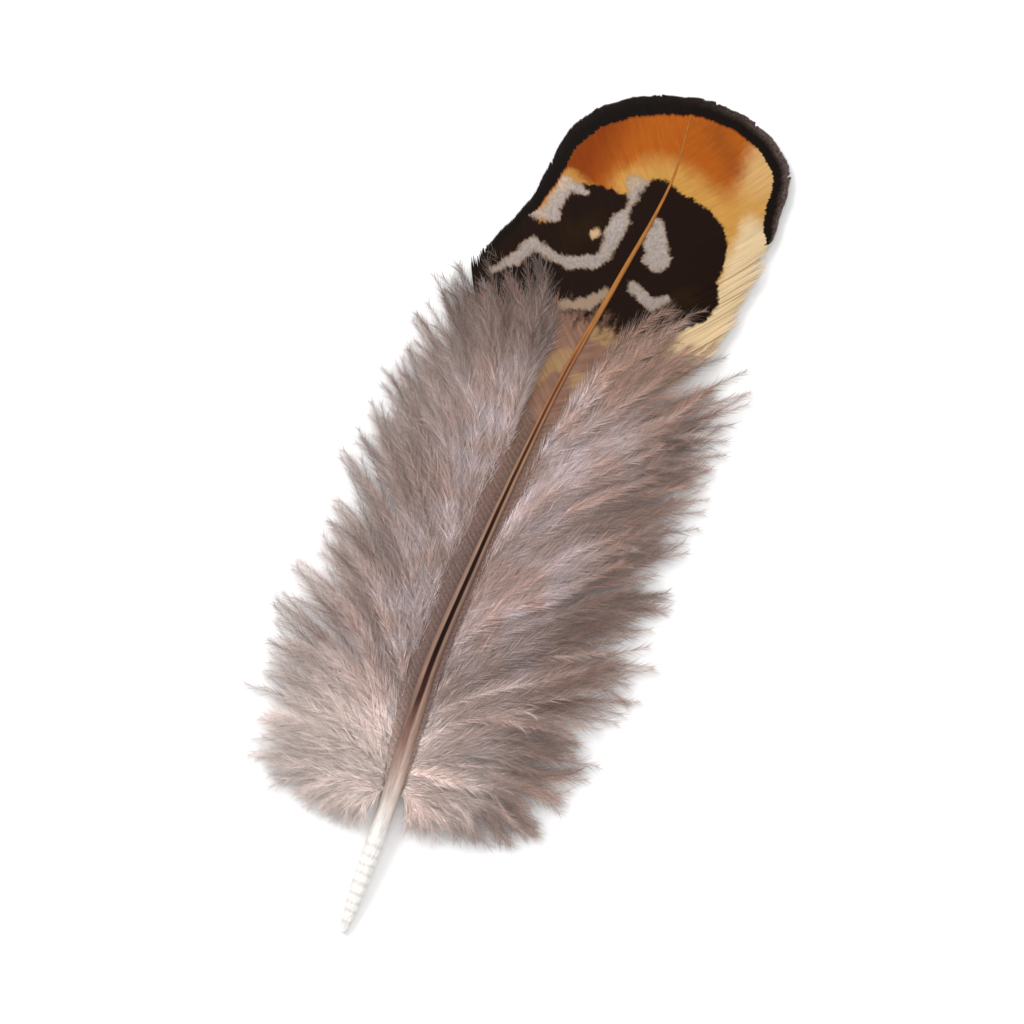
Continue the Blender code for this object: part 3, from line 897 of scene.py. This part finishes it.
def vane_lines(settings, side, rng):
    """The barbs of one vane, with the values that their ribbons and colours need."""
    count, steps = settings.barb_count, 30
    # How far tips stray along their barb, also where frayed, and how far frayed ones bend aside
    tip_stray, frayed_stray, tip_wave, bend = 0.03, 0.4, 0.05, 0.22
    # A ribbon's half width as a share of the space to the next barb, and its limits
    fill, thinnest, widest = 0.85, 0.05, 0.26
    # Lengths over which a blunt and a frayed tip narrow
    blunt_end, fine_end = 0.35, 2.2
    # This many widths of the black edge keep a frayed, plain barb clear of it
    past_edge = 9
    t = (np.arange(count) + 0.5) / count
    root = beside_shaft(VANE_START + (SHAFT[-1, 0] - VANE_START) * t, side, 0.7)
    tip = along(VANE_EDGES[side], t)
    outline = np.gradient(tip, axis=0)
    outline /= np.linalg.norm(outline, axis=1)[:, None]
    frayed = fade(tip[:, 1], 49.0, 46.5) if side > 0 else 0.7 * fade(tip[:, 1], 37.5, 35.0)
    ahead = unit(tip - root[:, :2])
    crossing = np.abs(ahead[:, 0] * outline[:, 1] - ahead[:, 1] * outline[:, 0])
    stray = tip_stray + frayed_stray * frayed
    ragged = rng.normal(0, 1, count) * stray + tip_wave * np.sin(t * 61 + side)
    tip = tip + ahead * ragged[:, None]
    way = tip - root[:, :2]
    length = np.linalg.norm(way, axis=1)
    share = np.linspace(0, 1, steps)

    flat = root[:, None, :2] + way[:, None] * share[None, :, None]
    dip = 4 * share * (1 - share) * settings.barb_bow
    towards_quill = np.stack([way[:, 1] * side, -way[:, 0] * side], axis=-1)
    flat = flat + towards_quill[:, None] * dip[None, :, None]
    towards_tip = np.stack([-ahead[:, 1], ahead[:, 0]], axis=-1) * side
    loose = rng.normal(0, bend, count) * frayed
    flat = flat + towards_tip[:, None] * (loose[:, None] * share**4)[..., None]
    for split, start, opening, spread in VANE_SPLITS[side]:
        gap = t - split
        push = np.sign(gap) * np.exp(-np.abs(gap) / spread) * opening
        grown = np.clip((share - start) / (1 - start), 0, 1) ** 1.4
        flat = flat + towards_tip[:, None] * (push[:, None] * grown)[..., None]

    edge_height = VANE_EDGE_HEIGHT + (VANE_TIP_HEIGHT - VANE_EDGE_HEIGHT) * t
    z = root[:, None, 2] + (edge_height - root[:, 2])[:, None] * share[None] ** VANE_FALL
    z = z + 0.06 * np.sin(t * 23 + side)[:, None] * share[None] ** 2
    lines = np.concatenate([flat, z[..., None]], axis=-1)

    tangent = unit(np.gradient(lines, axis=1))
    step = np.gradient(lines, axis=0)
    off = step - (step * tangent).sum(-1, keepdims=True) * tangent
    half_width = np.clip(np.linalg.norm(off, axis=2) * fill, thinnest, widest)
    remaining = (1 - share)[None] * length[:, None]
    blunt = 0.4 + 0.6 * np.clip(remaining / blunt_end, 0, 1)
    fine = 0.1 + 0.9 * np.clip(remaining / fine_end, 0, 1) ** 0.7
    half_width *= blunt + (fine - blunt) * fade(frayed, 0.0, 0.6)[:, None]
    width = np.interp(t, *np.transpose(EDGE_WIDTHS[side])) / np.clip(crossing, 0.45, 1)
    plain = frayed * (side > 0)
    clear = past_edge * (plain + rng.normal(0, 0.12, count) * (plain > 0))
    rim = remaining / width[:, None] + clear[:, None]
    shift = ahead * rng.normal(0, 0.055, count)[:, None]
    return lines, {
        "half_width": half_width * MM,
        "tilt": np.full((count, steps), RIBBON_TILT * side),
        "share": share[None],
        "strand": rng.random(count)[:, None],
        "rim": np.maximum(rim, 0) + rng.normal(0, 0.02, count)[:, None],
        "shift": np.repeat(np.column_stack([shift, np.zeros(count)])[:, None], steps, axis=1),
    }


def down_lines(count, stalk, side, layer, rng):
    """Loose barbs from the shaft that fan out like a fountain, gathered in tufts."""
    steps = 22
    # Angles by which a barb leaves the shaft steeper than its way out, and arrives flatter
    steeper, flatter = 0.38, 0.32
    first, last = layer["span"]
    turn, lift = layer["turn"], layer["lift"]
    count = round(count * layer["share"])
    t = scattered(count, rng)
    tufts = max(count // layer["tuft"], 1)
    tuft = np.clip((t * tufts).astype(int), 0, tufts - 1)
    centre = first + (last - first) * (tuft + 0.5) / tufts
    t = first + (last - first) * t
    chance = rng.random((tufts, 6))[tuft]
    gathered = t + (centre - t) * layer["gather"] + rng.normal(0, 0.015, count)
    fan = DOWN_FANS[side]
    root = beside_shaft(along(fan, t)[:, 2], side, 0.7)
    reach = layer["shortest"] + (layer["longest"] - layer["shortest"]) * chance[:, 0]
    reach = reach * rng.uniform(0.8, 1.06, count)
    way = (along(fan, np.clip(gathered, 0, 1))[:, :2] - root[:, :2]) * reach[:, None]
    length = np.linalg.norm(way, axis=1)
    angle = np.arctan2(way[:, 0] * side, way[:, 1])
    bare = np.interp(root[:, 1], *np.transpose(COMB_WIDTHS[side])) * (0.8 + 0.45 * chance[:, 5])

    rising = angle - steeper + 0.25 * fade(t, 0.75, 1.0) + turn * (chance[:, 1] - 0.5)
    rising = np.maximum(rising + rng.normal(0, 0.1, count), 0.1)
    falling = angle + flatter + turn * 1.6 * (chance[:, 2] - 0.5) + rng.normal(0, 0.16, count)
    base = root[:, :2] + heading(np.maximum(angle, 0.9), side) * bare[:, None]
    tip = root[:, :2] + way
    middle = base + heading(rising, side) * (length * 0.42)[:, None]
    before = tip - heading(falling, side) * (length * 0.28)[:, None]
    top = root[:, 2] + lift * (0.3 + chance[:, 3] + 0.4 * rng.random(count))
    low = np.clip(root[:, 2] * (1 - reach**3), 0.2, 4) + lift * chance[:, 5] + 0.4
    low = low + rng.uniform(0, 0.7, count)
    corners = [
        root - (0, 0, 0.3),
        np.column_stack([base, root[:, 2] - 0.5]),
        np.column_stack([middle, top]),
        np.column_stack([before, (top + low) / 2 + 0.3]),
        np.column_stack([tip, low]),
    ]
    share = np.linspace(0, 1, steps)
    lines = bezier(corners, share)

    aside = np.stack([-way[:, 1], way[:, 0]], axis=-1) / length[:, None]
    phase = rng.uniform(0, 2 * math.pi, (3, count, 1))
    wave = 0.34 * np.sin(share * 7 + phase[0]) + 0.13 * np.sin(share * 17 + phase[1])
    wave = wave + 0.4 * np.sin(share * 5 + 6.3 * chance[:, 4:5])
    lines[..., :2] += aside[:, None] * (wave * share)[..., None]
    lines[..., 2] += 0.2 * np.sin(share * 9 + phase[2]) * share
    walked = distance_walked(lines)
    bare = bare[:, None]
    over_vane = (lines[..., 1] > VANE_START - 1) & (walked > bare * 0.9)
    surface = vane_top(lines[..., 0], lines[..., 1])
    if layer["on_top"]:
        clear = np.maximum(lines[..., 2], surface + 0.3 + 0.5 * chance[:, 4:5])
    else:
        clear = np.minimum(lines[..., 2], surface - 0.5)
    lines[..., 2] = np.maximum(np.where(over_vane, clear, lines[..., 2]), 0.25)
    return lines, {
        "reach": share[None],
        "growth": fade(walked, bare * 0.8, bare * 1.2 + 0.8),
        "stalk": stalk * (2 - fade(walked, bare * 0.5, bare * 1.4)) * (1 - 0.7 * share) * MM,
        "strand": rng.random(count)[:, None],
        "clump": chance[:, :1],
    }


def comb_lines(count, side, rng):
    """The flat roots of the downy barbs, side by side like the teeth of a comb."""
    widths = np.array(COMB_WIDTHS[side])
    root_y = np.linspace(widths[0, 0], widths[-1, 0], count)
    width = np.interp(root_y, widths[:, 0], widths[:, 1]) * rng.uniform(0.9, 1.15, count)
    share = np.linspace(0, 1, 7)
    root = beside_shaft(root_y, side, 0.75)
    lines = np.repeat(root[:, None], len(share), axis=1)
    lines[..., 0] += side * width[:, None] * share
    lines[..., 1] += width[:, None] * (0.6 * share + 0.4 * share**2)
    lines[..., 2] += 0.1 * np.sin(math.pi * share) - 0.1 * share + rng.uniform(0, 0.02, count)[:, None]
    pitch = (root_y[-1] - root_y[0]) / count
    return lines, {
        "half_width": pitch * 0.55 * (1 - 0.6 * share**4)[None] * MM,
        "tilt": np.full((count, len(share)), RIBBON_TILT * side),
        "growth": 0.0 * share[None],
        "reach": 0.6 * share[None],
        "strand": (0.35 * (np.arange(count) % 2) + rng.uniform(0.1, 0.4, count))[:, None],
    }


def thread(t):
    """Points on the afterfeather's thread, which leaves the shaft and hangs below it."""
    y = THREAD_START + THREAD_LENGTH * t
    shaft = smooth(SHAFT, y)
    low = 0.9 + 0.5 * (1 - t)
    height = low + (shaft[:, 1] - 0.5 - low) * (1 - t) ** 14
    return np.column_stack([shaft[:, 0] * (1 - 0.3 * t), y, height])


def afterfeather_lines(count, rng):
    """Short loose barbs on both sides of the thread, then the thread itself."""
    share = np.linspace(0, 1, 12)
    t = scattered(count, rng)
    side = np.where(np.arange(count) % 2, 1, -1)
    root = thread(t)
    edge = along(AFTERFEATHER_EDGE, np.clip(t + 0.04 + rng.normal(0, 0.03, count), 0, 1))
    outward = edge[:, 0] * rng.uniform(0.65, 1.1, count) * side - 1.2 * (1 - t)
    tip = np.column_stack([outward, edge[:, 1] + 1.5, rng.uniform(0.25, 1.0, count)])
    way = tip - root
    sway, sag = rng.normal(0, 0.3, count), rng.uniform(-1.5, 0.1, count)
    lift = np.column_stack([sway, sag, np.full(count, 0.25)])
    lines = bezier([root, root + way * 0.33 + lift, root + way * 0.7 + lift * 0.5, tip], share)
    lines = np.concatenate([lines, thread(share)[None]])
    lines[..., 2] = np.maximum(lines[..., 2], THREAD_RADIUS)
    downy = np.append(np.ones(count), 0)[:, None]
    radius = np.append(np.full(count, THREAD_BARB_RADIUS), THREAD_RADIUS)[:, None]
    return lines, {
        "reach": share[None],
        "growth": fade(distance_walked(lines), 0.1, 0.8) * downy,
        "stalk": radius * (1 - 0.6 * share) * MM,
        "strand": rng.random(count + 1)[:, None],
        "clump": rng.random(count + 1)[:, None] * 0.5,
    }


def grow_ribbons(name, node, guides, flatness, finish):
    """One piece of flat barbs, swept along the guide lines."""
    feeds = {"Flatness": flatness, "Sides": RIBBON_SIDES, "Material": finish}
    piece = grow(name, guides, shared_tree("Barb Ribbons"), feeds)
    finish_piece(piece, node)


def grow_down(name, node, guides, settings, finish, seed, changes=None):
    """One piece of down, grown along the guide lines. changes holds what differs from settings."""
    feeds = {
        "Barbule Length": settings.barbule_length,
        "Barbule Radius": settings.barbule_radius,
        "Barbule Spacing": settings.barbule_spacing,
        "Splay": settings.splay,
        "Roll": settings.roll,
        "Ground": GROUND,
        "Seed": seed,
        "Material": finish,
        **(changes or {}),
    }
    piece = grow(name, guides, shared_tree("Downy Barbs"), feeds)
    finish_piece(piece, node)


def add_light(name, middle, offset, size, power, lean):
    """A square soft light that faces the middle, at an offset in the picture's own directions."""
    lamp = bpy.data.lights.new(name, "AREA")
    lamp.size = size
    lamp.energy = power
    light = bpy.data.objects.new(name, lamp)
    bpy.context.scene.collection.objects.link(light)
    away = Matrix.Rotation(lean, 3, "Z") @ Vector(offset)
    light.location = middle + away
    light.rotation_euler = away.to_track_quat("Z", "Y").to_euler()


class FEATHER_OT_stage(bpy.types.Operator):
    """Adds the floor, the lights and the camera that looks down on the feather"""

    bl_idname = "feather.stage"
    bl_label = "Stage"

    def execute(self, context):
        scene = context.scene
        settings = scene.feather_stage
        low, high = (Vector(corner) for corner in CAD_BOX)
        middle = (low + high) / 2
        half_floor, floor_gap, margin = 1.5, 0.02 * MM, 1.12
        corners = [(x * half_floor, y * half_floor, 0) for x, y in ((-1, -1), (1, -1), (1, 1), (-1, 1))]
        mesh = bpy.data.meshes.new("floor")
        mesh.from_pydata(corners, [], [(0, 1, 2, 3)])
        floor = bpy.data.objects.new("floor", mesh)
        floor.location.z = low.z - floor_gap
        scene.collection.objects.link(floor)
        made, graph, shader = new_material("pale_floor")
        colour = (*settings.floor, 1.0)
        graph.fed(shader, {"Base Color": colour, "Roughness": 0.9, "Specular IOR Level": 0.1})
        mesh.materials.append(made)

        world = bpy.data.worlds.new("soft_room")
        world.use_nodes = True
        sky = world.node_tree.nodes["Background"]
        sky.inputs["Color"].default_value = (1.0, 1.0, 1.0, 1.0)
        sky.inputs["Strength"].default_value = settings.sky
        scene.world = world
        add_light("key_light", middle, (-0.28, 0.3, 0.56), 0.28, settings.key_power, settings.lean)
        add_light("front_light", middle, (0.04, 0.1, 0.6), 0.3, settings.front_power, settings.lean)

        lens = bpy.data.cameras.new("camera")
        lens.lens = 100
        lens.clip_start = 0.01
        camera = bpy.data.objects.new("camera", lens)
        scene.collection.objects.link(camera)
        span = (high.y - low.y) * margin
        camera.location = middle + Vector((0, 0, span * lens.lens / lens.sensor_width))
        camera.rotation_euler = (0, 0, settings.lean)
        scene.camera = camera
        scene.view_settings.view_transform = "Standard"
        return {"FINISHED"}


class FEATHER_OT_shaft(bpy.types.Operator):
    """Makes the quill and the rachis as one grooved, tapered rod"""

    bl_idname = "feather.shaft"
    bl_label = "Shaft"

    def execute(self, context):
        settings = context.scene.feather_shaft
        y = np.linspace(SHAFT[0, 0], SHAFT[-1, 0], settings.rings)
        rows = smooth(SHAFT, y)
        line = np.stack([rows[:, 0], y, rows[:, 1]], axis=-1)[None]
        grooved = fade(y, -14, -4) * fade(y, 46, 30)
        guides = new_lines("shaft", line, {"thick": rows[None, :, 2] * MM, "grooved": grooved[None]})
        feeds = {
            "Sides": settings.sides,
            "Groove Depth": settings.groove_depth,
            "Material": shaft_material(settings),
        }
        finish_piece(grow("shaft_rod", guides, shaft_tree(), feeds), "shaft")
        return {"FINISHED"}


class FEATHER_OT_vanes(bpy.types.Operator):
    """Grows the stiff, barred barbs on both sides of the tip"""

    bl_idname = "feather.vanes"
    bl_label = "Vanes"

    def execute(self, context):
        settings = context.scene.feather_vane
        finish = vane_material(settings)
        for node, side, seed in (("vane_left", -1, 11), ("vane_right", 1, 12)):
            guides = new_lines(node, *vane_lines(settings, side, np.random.default_rng(seed)))
            grow_ribbons(node + "_barbs", node, guides, 0.12, finish)
        return {"FINISHED"}


class FEATHER_OT_down(bpy.types.Operator):
    """Grows the loose down on both sides of the lower shaft"""

    bl_idname = "feather.down"
    bl_label = "Down"

    def execute(self, context):
        settings = context.scene.feather_down
        stalk = settings.stalk_radius / MM
        finish = down_material("grey_down", settings, 0.0)
        for node, side, comb_seed in (("down_left", -1, 40), ("down_right", 1, 42)):
            for label, layer in DOWN_LAYERS.items():
                rng = np.random.default_rng(layer["seed"] * 10 + side)
                name = f"{node}_{label}"
                guides = new_lines(name, *down_lines(settings.strands, stalk, side, layer, rng))
                grow_down(name, node, guides, settings, finish, layer["seed"])
            comb = comb_lines(settings.comb_teeth, side, np.random.default_rng(comb_seed))
            guides = new_lines(node, *comb)
            grow_ribbons(node + "_comb", node, guides, 0.3, finish)
        return {"FINISHED"}


class FEATHER_OT_afterfeather(bpy.types.Operator):
    """Grows the small downy afterfeather under the shaft"""

    bl_idname = "feather.afterfeather"
    bl_label = "Afterfeather"

    def execute(self, context):
        settings, own, seed = context.scene.feather_down, context.scene.feather_afterfeather, 31
        barbs = afterfeather_lines(own.barb_count, np.random.default_rng(seed))
        guides = new_lines("afterfeather", *barbs)
        finish = down_material("pale_down", settings, 0.5)
        changes = {"Barbule Length": own.barbule_length, "Barbule Spacing": own.barbule_spacing}
        grow_down(
            "afterfeather_down", "afterfeather", guides, settings, finish, seed, changes
        )
        return {"FINISHED"}


class FEATHER_PT_panel(bpy.types.Panel):
    bl_idname = "FEATHER_PT_panel"
    bl_label = "Pheasant Feather"
    bl_space_type = "VIEW_3D"
    bl_region_type = "UI"
    bl_category = "Feather"

    def draw(self, context):
        for operator in OPERATORS:
            self.layout.operator(operator.bl_idname)


SETTINGS = {
    "feather_stage": FeatherStageSettings,
    "feather_shaft": FeatherShaftSettings,
    "feather_vane": FeatherVaneSettings,
    "feather_down": FeatherDownSettings,
    "feather_afterfeather": FeatherAfterfeatherSettings,
}
OPERATORS = (
    FEATHER_OT_stage,
    FEATHER_OT_shaft,
    FEATHER_OT_vanes,
    FEATHER_OT_down,
    FEATHER_OT_afterfeather,
)


def register():
    for item in (*SETTINGS.values(), *OPERATORS, FEATHER_PT_panel):
        bpy.utils.register_class(item)
    for name, group in SETTINGS.items():
        setattr(bpy.types.Scene, name, PointerProperty(type=group))


def unregister():
    for name in SETTINGS:
        delattr(bpy.types.Scene, name)
    for item in (FEATHER_PT_panel, *reversed(OPERATORS), *reversed(SETTINGS.values())):
        bpy.utils.unregister_class(item)


def main():
    register()
    bpy.ops.feather.stage()
    bpy.ops.feather.shaft()
    bpy.ops.feather.vanes()
    bpy.ops.feather.down()
    bpy.ops.feather.afterfeather()


if __name__ == "__main__":
    main()
